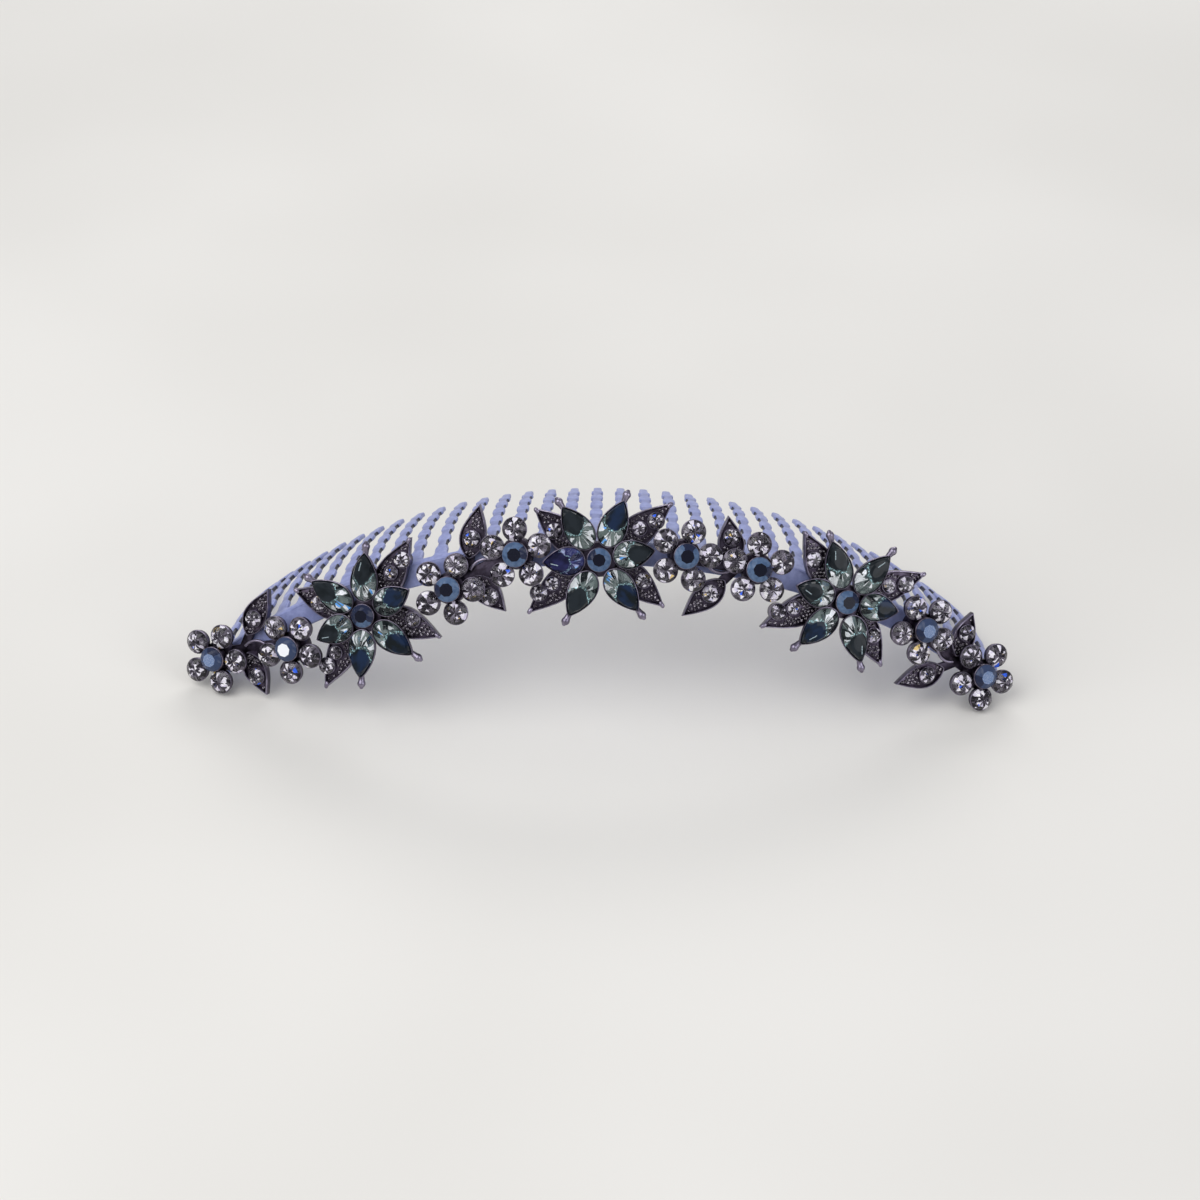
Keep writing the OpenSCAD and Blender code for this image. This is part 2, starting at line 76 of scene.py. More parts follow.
MARGIN = STONE_GAP + WALL
DROP_OUT = DROP_IN + DROP_L
LOW_Z = SOLDER_GAP
LOW_FLOOR_Z = LOW_Z + PLATE_T
RIM_Z = LOW_FLOOR_Z + RIM_H
CUP_Z = SOLDER_GAP + UPPER_Z
CUP_FLOOR_Z = CUP_Z + FLOOR_T
CUP_TOP_Z = CUP_Z + CUP_H
CENTRE_FLOOR_Z = CUP_FLOOR_Z + CENTRE_RISE
CENTRE_TOP_Z = CUP_TOP_Z + CENTRE_RISE
HEART_FLOOR_Z = CUP_FLOOR_Z + HEART_RISE
HEART_TOP_Z = CUP_TOP_Z + HEART_RISE

# This script's own, in mm: width of a leaf's raised edge, how much wider a round stone is at its
# girdle than the CAD's, radius and spacing of the tiny stones, height of the floor under them
EDGE_W, LIP_COVER = 0.36, 0.15
TINY_R, TINY_STEP, TINY_Z = 0.34, 0.8, LOW_FLOOR_Z + 0.2

# How much shorter a leaf's outline is, and how much longer a drop's, for each mm of margin
LEAF_SHRINK, DROP_GROWTH = 2.6, 2.4

# Cut of a round stone: main facets of its crown and, in shares of its radius, the table's reach,
# the girdle's height and the crown's height over it. Then a drop's middle in shares of its length
SIDES, TABLE, GIRDLE, CROWN = 8, 0.56, 0.55, 0.42
DROP_MID = 0.45

# Edges of the metal that turn by more than this many degrees stay sharp
SHARP_ANGLE = 38

# Castings from left to right. at: place in pitches from the middle, lift: shift up the face in
# petal reaches, turn: on the face, left and right: turn of the petals of a spray's own two small
# flowers, spread: distance between them in flower gaps, drops: turn of each drop from its even
# place
CASTINGS = [
    dict(at=-3.08, lift=-0.06, turn=159.8, left=9.5, right=21.5, spread=1.17),
    dict(at=-2.03, lift=-0.60, turn=1.3, drops=(8.5, 6.5, 7.5, 6.5, 5.5, 3)),
    dict(at=-0.99, lift=0, turn=198.5, left=29, right=8, spread=1.01),
    dict(at=-0.07, lift=0.14, turn=-0.3, drops=(10, 7.5, 5.5, 3.5, 2, 8)),
    dict(at=0.88, lift=0.45, turn=-1, left=10.5, right=26.5, spread=0.975),
    dict(at=1.93, lift=0.18, turn=-1.5, drops=(10.5, 7.5, 7, 3.5, 2, 6.5)),
    dict(at=2.96, lift=0.23, turn=-5.4, left=7.5, right=17.5, spread=1.145)]
SPRAYS, FLOWERS = CASTINGS[0::2], CASTINGS[1::2]

# Sepals of a large flower. angle: direction, reach: of the tip in drop ends, sweep: of the tip in
# widths
SEPALS = [
    dict(angle=36, reach=1.46, sweep=0.10),
    dict(angle=147.5, reach=1.30, sweep=-0.22),
    dict(angle=211, reach=1.42, sweep=0.34),
    dict(angle=-28, reach=1.27, sweep=-0.36)]

# Round stones of the sepals. angle, place in drop ends from the middle, size in leaf stones. Each
# is on the sepal whose direction is less than the spread from its own
SEPAL_STONES = [
    dict(angle=34.5, place=1.08, size=0.95),
    dict(angle=37.5, place=0.80, size=0.8),
    dict(angle=149, place=0.83, size=0.92),
    dict(angle=210, place=1.10, size=0.95),
    dict(angle=208.5, place=0.84, size=0.78),
    dict(angle=-25.5, place=0.78, size=0.86)]
SEPAL_SPREAD = 20

# Leaves of a spray. tip in flower gaps, direction, length, sweep in widths, stone in lengths from
# the tip
LEAVES = [
    dict(tip=(-0.325, -0.82), angle=-126, length=LONG_LEAF_L, sweep=-0.12, stone=0.64),
    dict(tip=(0.035, 0.617), angle=101, length=SHORT_LEAF_L, sweep=0.12, stone=0.45)]

# Seeds of the stones' paint. Most are drawn below SEED_END. A blue stone's seed turns its sector of
# painted shade, and past those of the others are one that lies in shade and those that mirror the
# light, with painted reflections on pale and white tables
SEED_END = 80
SHADED, PALE_REFLECTION, WHITE_REFLECTION = 96, 98, 99
BLUE_SEEDS = {(1, "right"): PALE_REFLECTION, (1, "left"): WHITE_REFLECTION, (2, "left"): 12, (2, "right"): 23,
              (3, "left"): 50, (3, "right"): 8, (4, "left"): PALE_REFLECTION, (4, "right"): PALE_REFLECTION}
HEART_SEEDS = SHADED, 5, 7

# Large flower, from 1, and drop, from 0, of the one violet drop
VIOLET_DROP = (2, 3)

rng = np.random.default_rng(7)


def any_seed():
    return rng.integers(1, SEED_END)


# ---- places ----
def stand(p):
    """Points of the arch's own frame (x along, y up at the middle, z forward), in mm, as they stand
    in the row's frame, in metres: turned about x by a right angle and the lean, and shifted to
    rest."""
    a = np.radians(LEAN)
    x, y, z = np.moveaxis(np.asarray(p, float), -1, 0)
    stood = np.stack([x, -y * np.sin(a) - z * np.cos(a), y * np.cos(a) - z * np.sin(a)], -1)
    return (stood - REST) * MM


def on_casting(row, p):
    """Points of a casting's own frame, in mm, in the row's frame: turned and lifted on the face of
    the band, whose place and tilt give the radius and the distance forward."""
    t, a, f = np.radians(row["turn"]), row["at"] * PITCH / ARCH_R, np.radians(FACE_TILT)
    x0, y0, z = np.moveaxis(np.asarray(p, float), -1, 0)
    x = x0 * np.cos(t) - y0 * np.sin(t)
    y = x0 * np.sin(t) + y0 * np.cos(t) + row["lift"] * PETAL_REACH
    r = ARCH_R + y * np.cos(f) + z * np.sin(f)
    return stand(np.stack([r * np.sin(a) + x * np.cos(a), r * np.cos(a) - x * np.sin(a),
                           z * np.cos(f) - y * np.sin(f)], -1))


def moved(p, at, turn):
    """Points turned about z by an angle in degrees and then shifted."""
    t = np.radians(turn)
    x, y, z = np.moveaxis(np.asarray(p, float), -1, 0)
    return np.stack([x * np.cos(t) - y * np.sin(t) + at[0], x * np.sin(t) + y * np.cos(t) + at[1],
                     z + at[2]], -1)


def polar(angle, r):
    """The flat point at an angle in degrees and a radius."""
    a = np.radians(angle)
    return np.array([r * np.cos(a), r * np.sin(a)])


def level(p, z):
    """Flat points raised to one height, or each to its own."""
    return np.concatenate([p, np.broadcast_to(np.asarray(z, float), len(p))[:, None]], -1)


# ---- surfaces ----
def shell(rings, caps=True):
    """(points, triangles) of a closed surface through a grid of points, ring by ring. Each ring
    closes on itself, and the first and last are filled by fans round their middles."""
    n, m = rings.shape[:2]
    v = np.concatenate([rings.reshape(-1, 3), rings[:1].mean(1), rings[-1:].mean(1)])
    i = np.arange(n * m).reshape(n, m)
    j = np.roll(i, -1, 1)
    a, b, c, d = i[:-1], j[:-1], j[1:], i[1:]
    parts = [(a, b, c), (a, c, d)]
    if caps:
        parts += [(j[0], i[0], np.full(m, n * m)), (i[-1], j[-1], np.full(m, n * m + 1))]
    t = np.concatenate([np.stack(part, -1).reshape(-1, 3) for part in parts])
    _, first, place = np.unique(np.round(v, 4), axis=0, return_index=True, return_inverse=True)
    t = place.reshape(-1)[t]
    t = t[(t[:, 0] != t[:, 1]) & (t[:, 1] != t[:, 2]) & (t[:, 2] != t[:, 0])]
    v = v[first]
    if np.einsum("ij,ij->i", v[t[:, 0]], np.cross(v[t[:, 1]], v[t[:, 2]])).sum() < 0:
        t = t[:, ::-1]
    return v, t


def circle(n, start=0.0):
    """Angles of even steps once round."""
    return start + 2 * np.pi * np.arange(n) / n


def lathe(profile, n=28, start=0.0):
    """A closed surface of revolution about z through rows of (radius, height)."""
    r, z = np.asarray(profile, float).T
    a = circle(n, start)
    return shell(np.stack([np.outer(r, np.cos(a)), np.outer(r, np.sin(a)),
                           np.repeat(z[:, None], n, 1)], -1))


def spindle(x, r, y, z, n):
    """A closed surface of circles across x, each with its radius, round the line of y and z."""
    a = circle(n)
    return shell(np.stack([np.repeat(x[:, None], n, 1),
                           np.broadcast_to(y, len(x))[:, None] + np.outer(r, np.cos(a)),
                           z + np.outer(r, np.sin(a))], -1))


def unit(v):
    """Vectors at length 1."""
    return v / np.linalg.norm(v, axis=-1, keepdims=True)


def tube(path, radius):
    """A closed round tube of one radius along a path of points. Each ring lies in the plane across
    the path, with one axis as near to z as it can be."""
    along = unit(np.gradient(path, axis=0))
    side = unit(np.cross(along, [0, 0, 1.0]) + 1e-6)
    up = np.cross(side, along)
    a = circle(10)[:, None]
    return shell(path[:, None] + radius * (np.cos(a) * side[:, None] + np.sin(a) * up[:, None]))


def rounded(corners, cut):
    """A closed outline with each corner replaced by a parabola that starts and ends a cut away."""
    p = np.asarray(corners, float)
    a, b = (p + cut * unit(np.roll(p, k, 0) - p) for k in (1, -1))
    t = np.linspace(0, 1, 5)[None, :, None]
    return ((1 - t) ** 2 * a[:, None] + 2 * t * (1 - t) * p[:, None]
            + t ** 2 * b[:, None]).reshape(-1, 2)


def height_highlight(part, low, high):
    """Adds to a metal part's shell, for each corner, how bright its painted highlight is: its
    height between two, so that raised parts are painted lit and low parts stay dark as painted
    shade."""
    v, t = part
    return v, t, np.repeat(np.clip((v[t][:, :, 2:] - low) / (high - low), 0, 1), 3, 2)


def placed(row, part, at=(0, 0, 0), turn=0.0):
    """A shell of a casting, shifted and turned on it, in the row's frame."""
    v, t, spot = part
    return on_casting(row, moved(v, at, turn)), t, spot


# ---- comb ----
def band():
    """The section of the folded strip, its corners rounded, carried round the arch."""
    f, d = np.radians(FACE_TILT), np.radians(ROOT_DROP)
    up, out = np.array([np.cos(f), -np.sin(f)]), np.array([np.sin(f), np.cos(f)])
    back, off = np.array([-np.sin(d), -np.cos(d)]), np.array([np.cos(d), -np.sin(d)])
    mid = np.array([ARCH_R, 0.0])
    low, bend = mid - FACE_LOW * up, mid + FACE_HIGH * up
    inner = bend - BAND_T * (out + off) / (1 + out @ off)
    end = bend + STRIP_W * back
    section = rounded([low, bend, end, end - BAND_T * off, inner, low - BAND_T * out], 0.4)
    a = np.radians(np.linspace(-BAND_HALF, BAND_HALF, 161))
    r, z = section.T
    v, t = shell(np.stack([np.outer(np.sin(a), r), np.outer(np.cos(a), r),
                           np.repeat(z[None], len(a), 0)], -1))
    return stand(v), t, np.zeros((len(t), 3, 3))


def notch(x):
    """How deep the notches are at a length x along a tooth: a raised cosine, its upper part
    alone."""
    wave = 0.5 + 0.5 * np.cos(2 * np.pi * ((TOOTH_L - TIP_L - x) / NOTCH_PITCH - 0.5))
    return np.clip((wave - 0.25) / 0.5, 0, 1)


def tooth():
    """A tooth is an arc of rounded strips: its half width is a taper less a row of shallow rounded
    notches, widened by quarter circles at the root, so that the gaps between teeth end in a U, and
    closed by a half circle at the tip. Returned with, for each point, the notches' depth and the
    share of it at the edges."""
    shoulder, tip_r = TOOTH_L - TIP_L, TIP_W / 2
    web = (2 * np.radians(TOOTH_HALF) / (TOOTH_COUNT - 1) * TOOTH_ROOT[0] - TOOTH_W) / 2
    x = np.concatenate([
        np.linspace(-TOOTH_IN, 0, 3)[:-1], np.linspace(0, web, 7)[:-1],
        np.linspace(web, shoulder, 96), shoulder + np.array([0.12, 0.3, 0.6, 1.6]),
        TOOTH_L - tip_r + tip_r * np.sin(np.radians(np.linspace(0, 88, 8)))])
    from_root, in_tip = np.clip(x, 0, None), np.clip(x - (TOOTH_L - tip_r), 0, None)
    body = TOOTH_W / 2 + (TOOTH_END_W - TOOTH_W) / 2 * from_root / shoulder
    body = body - NOTCH_D * notch(x) * (x > web)
    flare = web - np.sqrt(np.clip(web ** 2 - np.clip(web - from_root, 0, None) ** 2, 0, None))
    blend = np.clip((x - shoulder) / 0.3, 0, 1)
    end = np.sqrt(np.clip(1 - (in_tip / tip_r) ** 2, 0, 1))
    half = (body + flare) * (1 - blend) + tip_r * blend * end
    thick = TOOTH_T / 2 * np.where(x > TOOTH_L - tip_r, 0.35 + 0.65 * end, 1)
    arc_r, b = TOOTH_L / (2 * np.sin(np.radians(TOOTH_BEND / 2))), np.radians(TOOTH_BEND / 2)
    turn = np.arcsin(np.clip((x - TOOTH_L / 2) / arc_r, -1, 1))
    rise = arc_r * (np.cos(turn) - np.cos(b))
    wide, high = np.cos(circle(16)), np.sin(circle(16))
    wide, high = np.sign(wide) * np.abs(wide) ** 0.45, np.sign(high) * np.abs(high) ** 0.6
    v, t = shell(np.stack([np.outer(half, wide),
                           rise[:, None] + np.outer(thick * np.cos(turn), high),
                           x[:, None] + np.outer(thick * np.sin(turn), high)], -1))
    depth = notch(v[:, 2]) * (v[:, 2] > web) * (v[:, 2] < shoulder)
    return v, t, depth, np.clip(np.abs(v[:, 0]) - 0.6, 0, 0.3) / 0.3 * depth


def teeth():
    """The teeth, sloped down from the band and turned round the arch. The painted shade's share is
    the notch's depth on the edge that faces the middle, less on the middle teeth, and the share of
    the faint line of painted shade the same depth all the way across."""
    v, t, line, edge = tooth()
    across, rise, along = v.T
    drop = np.radians(TOOTH_DROP)
    y = TOOTH_ROOT[0] + rise * np.cos(drop) - along * np.sin(drop)
    z = TOOTH_ROOT[1] - rise * np.sin(drop) - along * np.cos(drop)
    for a in np.radians(np.linspace(-TOOTH_HALF, TOOTH_HALF, TOOTH_COUNT)):
        # Painted shade: dark paint in the notches on the edge that faces the middle, and a line of
        # painted shade across each notch.
        paint = edge * (across * a < 0) * min(1, abs(a) / 0.16)
        spot = np.stack([paint, line, line], -1)
        x = across * np.cos(a) + y * np.sin(a)
        yield stand(np.stack([x, y * np.cos(a) - across * np.sin(a), z], -1)), t, spot[t]


# ---- settings ----
def cup(outer, inner, bottom, floor, top):
    """A round cup that widens upwards, its lip rounded."""
    return height_highlight(lathe([
        (0.8 * outer, bottom), (0.86 * outer, bottom + 0.3 * (top - bottom)), (outer, top - 0.35),
        (outer, top - 0.1), (outer - 0.04, top - 0.03), (outer - 0.11, top),
        (inner + 0.08, top - 0.01), (inner + 0.01, top - 0.08), (inner, top - 0.2),
        (inner, floor), (0.4 * inner, floor)]), top - 0.6, top + 0.3)


def low_cup(r):
    """The cup of a stone of radius r on a leaf."""
    return height_highlight(lathe([
        (r + MARGIN, LOW_Z), (r + MARGIN, RIM_Z - 0.1), (r + MARGIN - 0.08, RIM_Z),
        (r + 0.12, RIM_Z), (r + 0.06, RIM_Z - 0.1), (r + 0.06, LOW_FLOOR_Z),
        (0.4 * r, LOW_FLOOR_Z)]), RIM_Z - 0.4, RIM_Z)


def leaf_half(share, w, m):
    """Half a leaf's width, less a margin, at a share of its length: a sine of the share to a power,
    which puts the widest place nearer the base."""
    return (w / 2 - m) * np.sin(np.pi * share ** 0.75)


def leaf_bend(x, l, sweep):
    """How far a leaf's middle line has bent sideways at a length x: as the square of its share."""
    return sweep * (x / l) ** 2


def leaf_outline(l, w, sweep, m):
    """Outline of a leaf, shrunk by a margin, and its middle line at the same steps."""
    n = 30
    s = 0.5 - 0.5 * np.cos(np.pi * np.arange(n + 1) / n)
    x = m + s * (l - LEAF_SHRINK * m)
    line = np.stack([x, leaf_bend(x, l, sweep)], -1)
    half = leaf_half(s, w, m)[:, None] * [0, 1]
    back = slice(n - 1, 0, -1)
    return np.concatenate([line + half, (line - half)[back]]), np.concatenate([line, line[back]])


def leaf(l, w, sweep):
    """A leaf: rings between its outline, its rim's inner edge and its middle line, each with a
    share of the way in and a height, that make a plate with a rounded rim and a slightly raised
    floor."""
    outer, _ = leaf_outline(l, w, sweep, 0)
    inner, line = leaf_outline(l, w, sweep, EDGE_W)
    rings = [level(a + share * (b - a), z) for a, b, share, z in (
        (outer, line, 1, LOW_Z), (outer, inner, 0.3, LOW_Z), (outer, inner, 0.05, LOW_Z + 0.2),
        (outer, inner, 0, RIM_Z - 0.3), (outer, inner, 0.12, RIM_Z - 0.1),
        (outer, inner, 0.4, RIM_Z), (outer, inner, 0.6, RIM_Z), (outer, inner, 0.88, RIM_Z - 0.1),
        (outer, inner, 1, RIM_Z - 0.3), (outer, inner, 1, LOW_FLOOR_Z + 0.1),
        (inner, line, 0.5, LOW_FLOOR_Z + 0.2), (inner, line, 1, LOW_FLOOR_Z + 0.25))]
    return height_highlight(shell(np.stack(rings), caps=False), RIM_Z - 0.45, RIM_Z - 0.1)


def bead(l, sweep):
    """A long rounded bead on a leaf's tip: an oval turned about the line that the tip follows."""
    a = np.radians(np.linspace(-88, 88, 9))
    x, r = l - 0.75 + 0.75 * np.sin(a), 0.5 * np.cos(a) ** 0.7
    return height_highlight(spindle(x, r, leaf_bend(x, l, sweep), RIM_Z - 0.36, 10), RIM_Z - 1.1, RIM_Z + 0.1)


def stem_arc():
    """The rounded end of the short leaf between a spray's two flowers: a raised wire on a circle's
    arc."""
    a = np.radians(np.linspace(228, 312, 15))
    arc = np.stack([3.4 * np.cos(a), 1.2 + 3.4 * np.sin(a)], -1)
    return height_highlight(tube(level(arc, LOW_FLOOR_Z + 1.0), 0.3), LOW_FLOOR_Z + 0.6, LOW_FLOOR_Z + 1.1)


def drop_outline(l, w, n=22):
    """Outline of a drop: half its width is a power of the share of its length from the round end
    times a power of the share left to the point, scaled so that the most is half of w."""
    def bulge(q):
        return q ** DROP_ROUND * (1 - q).clip(0) ** DROP_POINT

    s = 0.5 - 0.5 * np.cos(np.pi * np.arange(n + 1) / n)
    half = w / 2 * bulge(s) / bulge(np.array(DROP_ROUND / (DROP_ROUND + DROP_POINT)))
    top = np.stack([l * s, half], -1)
    return np.concatenate([top, (top * [1, -1])[n - 1:0:-1]])


def drop_cup(l):
    """The wall round a drop, from its floor to a rounded lip: rings, each with a margin round the
    drop's outline, a height, and the share of the way out from the drop's middle."""
    inner, outer, top = STONE_GAP, MARGIN, CUP_TOP_Z
    mid = np.array([DROP_IN + DROP_MID * l, 0])
    rings = []
    for m, z, share in (
            (outer, CUP_Z, 0.05), (outer, CUP_Z, 0.86), (outer, CUP_Z + 0.5, 0.93),
            (outer, top - 0.4, 1), (outer, top - 0.1, 1), (outer - 0.05, top - 0.02, 1),
            (outer - 0.12, top, 1), (inner + 0.07, top - 0.01, 1), (inner, top - 0.1, 1),
            (inner, CUP_FLOOR_Z, 1), (inner, CUP_FLOOR_Z, 0.05)):
        p = drop_outline(l + DROP_GROWTH * m, DROP_W + 2 * m) + [DROP_IN - m, 0]
        rings.append(level(mid + share * (p - mid), z))
    return height_highlight(shell(np.stack(rings)), top - 0.5, top + 0.2)


def prong():
    """A ball prong past the tip of a drop: a shaft that widens into a ball, and a blunt nib, turned
    about its own axis."""
    z = (CUP_Z + CUP_TOP_Z) / 2
    reach = DROP_OUT + MARGIN + PRONG_L
    a = np.radians(np.linspace(-32, 56, 8))
    x = np.concatenate([[DROP_OUT - 0.4, DROP_OUT + 0.2, reach - 0.75], reach + BALL_R * np.sin(a),
                        [reach + 1.1 * BALL_R, reach + 1.25 * BALL_R]])
    r = np.concatenate([[0.5, 0.6, 0.64], BALL_R * np.cos(a), [0.34, 0.22]])
    return height_highlight(spindle(x, r, 0, z, 14), z - 1.5 * BALL_R, z + 1.2 * BALL_R)


def box_bar(half_l, w):
    """A bar along x with rounded edges, as high as the leaves' plates, nowhere given the painted
    highlight.
    """
    s = rounded([(-w / 2, LOW_Z), (w / 2, LOW_Z), (w / 2, LOW_FLOOR_Z), (-w / 2, LOW_FLOOR_Z)], 0.2)
    rings = [np.concatenate([np.full((len(s), 1), x), s], -1) for x in (-half_l, half_l)]
    return height_highlight(shell(np.stack(rings)), LOW_FLOOR_Z, LOW_FLOOR_Z + 1)


def post(r):
    """The post under a flower's cups, nowhere given the painted highlight."""
    return height_highlight(lathe([(r, LOW_Z), (r, CUP_Z), (r - 0.2, CUP_FLOOR_Z - POST_SINK)], 24),
                CUP_TOP_Z, CUP_TOP_Z + 1)


# ---- stones ----
def spotted(part, scale, seed, shift):
    """Adds to a stone's shell, for each corner, where its paint is read: the place across the stone
    in shares of its size, shifted by the facet's slope as the inside of a cut stone is, and the
    seed."""
    v, t = part
    n = unit(np.cross(v[t[:, 1]] - v[t[:, 0]], v[t[:, 2]] - v[t[:, 0]]))
    xy = v[t][:, :, :2] / scale + shift * n[:, None, :2]
    return v, t, np.concatenate([xy, np.full((*xy.shape[:2], 1), seed)], -1)


def round_stone(r, seed):
    """A round cut stone on a grid of rings and two directions for each main facet: the middle
    ring's places lie on the planes through the table's corners, so that the crown has kite facets
    with a fan of small ones below."""
    m = 2 * SIDES
    a = circle(m)
    even = np.arange(m) % 2 == 0
    flat = np.cos(np.pi / SIDES)
    zg, zt = GIRDLE * r, (GIRDLE + CROWN) * r
    back_r, r = r, r + LIP_COVER
    far = 0.8
    near = far * flat
    zm = zt + (zg - zt) * (near - TABLE) / (1 - TABLE)
    rings = [(0.3 * back_r, 0.0), (0.75 * back_r, 0.0), (back_r, zg - 0.12), (r, zg - 0.02),
             (r, zg + 0.06), (np.where(even, near, far) * r, zm),
             (np.where(even, TABLE, TABLE * flat) * r, zt)]
    part = shell(np.stack([level(np.stack([q * np.cos(a), q * np.sin(a)], -1), z)
                           for q, z in rings]))
    return spotted(part, r, seed, 0.2)


def drop_stone(l, seed):
    """A drop-shaped cut stone: rings between its outline and an oval table that lies nearer the
    point. Every second place of the middle ring is lower, which folds the crown into a fan of
    facets."""
    edge = drop_outline(l, DROP_W, 9)
    m = len(edge)
    a = 2 * np.pi * (0.5 - np.arange(m) / m)
    table_x = 0.6 * l
    table = np.stack([table_x + 0.27 * l * np.cos(a), 0.30 * DROP_W * np.sin(a)], -1)
    fold = np.where(np.arange(m) % 2 == 0, 1.0, 0.0)
    zg, zt = 0.35 * DROP_W / 2, 0.85 * DROP_W / 2
    mid = np.array([DROP_MID * l, 0])
    part = shell(np.stack([
        level(mid + 0.3 * (edge - mid), 0), level(mid + 0.85 * (edge - mid), 0),
        level(mid + 0.99 * (edge - mid), zg - 0.15), level(edge, zg),
        level(edge + 0.5 * (table - edge), zg + (zt - zg) * (0.62 + 0.16 * fold)),
        level(table, zt), level(0.6 * table + 0.4 * np.array([table_x, 0]), zt + 0.05)]))
    return spotted(part, np.array([l, DROP_W / 2]), seed, 0.12)


# ---- shaders ----
class Value:
    """A socket of one material's nodes that sums and compares like a number."""

    def __init__(self, shader, socket):
        self.shader, self.socket = shader, socket

    def math(self, kind, *operands):
        return self.shader.add("ShaderNodeMath", {"operation": kind}, dict(enumerate(operands)))

    def __add__(self, o): return self.math("ADD", self, o)
    def __sub__(self, o): return self.math("SUBTRACT", self, o)
    def __mul__(self, o): return self.math("MULTIPLY", self, o)
    def __truediv__(self, o): return self.math("DIVIDE", self, o)
    def __pow__(self, o): return self.math("POWER", self, o)
    def __gt__(self, o): return self.math("GREATER_THAN", self, o)
    def __lt__(self, o): return self.math("LESS_THAN", self, o)
    def __abs__(self): return self.math("ABSOLUTE", self)
    def __radd__(self, o): return self + o
    def __rmul__(self, o): return self * o
    def __rsub__(self, o): return self.math("SUBTRACT", o, self)
    def __rtruediv__(self, o): return self.math("DIVIDE", o, self)
    def floor(self): return self.math("FLOOR", self)
    def fract(self): return self.math("FRACT", self)

    def ramp(self, low, high):
        """0 at low, 1 at high and smooth between."""
        return self.shader.add("ShaderNodeMapRange", {"interpolation_type": "SMOOTHSTEP"},
                               {"Value": self, "From Min": low, "From Max": high})


class Shader:
    """A material whose nodes are added one by one, ending in a Principled shader."""

    def __init__(self, name, **constants):
        self.material = bpy.data.materials.new(name)
        self.material.use_nodes = True
        self.tree = self.material.node_tree
        self.end = self.tree.nodes["Principled BSDF"]
        self.drive(**constants)

    def put(self, node, inputs):
        for key, value in inputs.items():
            if isinstance(value, Value):
                self.tree.links.new(value.socket, node.inputs[key])
            else:
                node.inputs[key].default_value = value

    def drive(self, **inputs):
        """Sets or links sockets of the Principled shader."""
        self.put(self.end, {key.replace("_", " "): value for key, value in inputs.items()})

    def add(self, kind, settings, inputs, output=0):
        node = self.tree.nodes.new(kind)
        for key, value in settings.items():
            setattr(node, key, value)
        self.put(node, inputs)
        return Value(self, node.outputs[output])

    def place(self):
        return self.add("ShaderNodeTexCoord", {}, {}, "Object")

    def noise(self, scale, detail, at=None):
        return self.add("ShaderNodeTexNoise", {},
                        {"Vector": at or self.place(), "Scale": scale, "Detail": detail})

    def vector(self, x, y, z):
        return self.add("ShaderNodeCombineXYZ", {}, {0: x, 1: y, 2: z})

    def chance(self, x, y, z):
        """A random number from 0 to 1 for each whole x, y and z."""
        return self.add("ShaderNodeTexWhiteNoise", {"noise_dimensions": "3D"},
                        {"Vector": self.vector(x, y, z)})

    def mix(self, share, a, b):
        """Colour a where the share is 0 and b where it is 1."""
        return self.add("ShaderNodeMix", {"data_type": "RGBA"}, {0: share, 6: a, 7: b}, 2)

    def spot(self):
        """The three parts of the corner attribute that the paint is read by: across, along and seed
        on a stone, the painted shade in the notches and the line of painted shade across them on
        the comb, and the painted highlight by height on the metal."""
        whole = self.add("ShaderNodeAttribute", {"attribute_name": "spot"}, {}, "Vector")
        first = self.add("ShaderNodeSeparateXYZ", {}, {0: whole})
        return [Value(self, socket) for socket in first.socket.node.outputs]

    def bump(self, height, distance):
        return self.add("ShaderNodeBump", {}, {"Height": height, "Distance": distance})


def comb_enamel():
    """Lavender enamel, uneven in tone, with a faint line of painted shade across each notch and
    dark painted shade on its edge."""
    s = Shader("comb_enamel", Roughness=0.42, Coat_Weight=0.15, Coat_Roughness=0.3)
    notch_shade_share, shade_line_share = s.spot()[:2]
    tone = s.mix(s.noise(900, 3).ramp(0.3, 0.7), (0.235, 0.265, 0.515, 1), (0.305, 0.345, 0.62, 1))
    # Painted shade: a faint darker line across the tooth at each notch.
    tone = s.mix(0.3 * shade_line_share.ramp(0.5, 1), tone, (0.12, 0.13, 0.27, 1))
    # Painted shade: near-black paint on the notch edge that faces the middle, for the notch walls
    # in shade.
    s.drive(Base_Color=s.mix(notch_shade_share.ramp(0.4, 0.6), tone, (0.02, 0.02, 0.04, 1)),
            Normal=s.bump(s.noise(2500, 2), 0.00003))
    return s.material


def gunmetal():
    """Dark plating, cloudy in tone, with a painted highlight on its raised parts while the low
    parts stay dark as painted shade.
    """
    s = Shader("gunmetal", Metallic=1.0)
    n = s.noise(700, 3).ramp(0.3, 0.7)
    dark = s.mix(n, (0.035, 0.028, 0.04, 1), (0.085, 0.07, 0.10, 1))
    # Painted highlight: the colour of raised rims and edges.
    highlight = s.mix(n, (0.20, 0.175, 0.235, 1), (0.35, 0.315, 0.41, 1))
    # Painted light by height: raised parts take the painted highlight, low parts the dark plating
    # as painted shade.
    s.drive(Base_Color=s.mix(s.spot()[0], dark, highlight),
            Roughness=0.2 + 0.25 * s.noise(1500, 2), Normal=s.bump(s.noise(3000, 2), 0.00002))
    return s.material


def polar_place(x, y):
    """Angle in turns, from -0.5 to 0.5, and radius of a place on a stone."""
    return y.math("ARCTAN2", y, x) / (2 * np.pi), (x * x + y * y) ** 0.5


def cells(s, a, r, seed, count, bend, rings, salt=0):
    """A random number for each cell of a kaleidoscope: two fans of spiral lines that cross, cut by
    rings."""
    one, two = (a * count + r * bend).floor(), (a * count - r * bend + 0.5).floor()
    return s.chance(one + seed * 17, two + seed * 5 + salt, (r * rings).floor() + seed * 3)


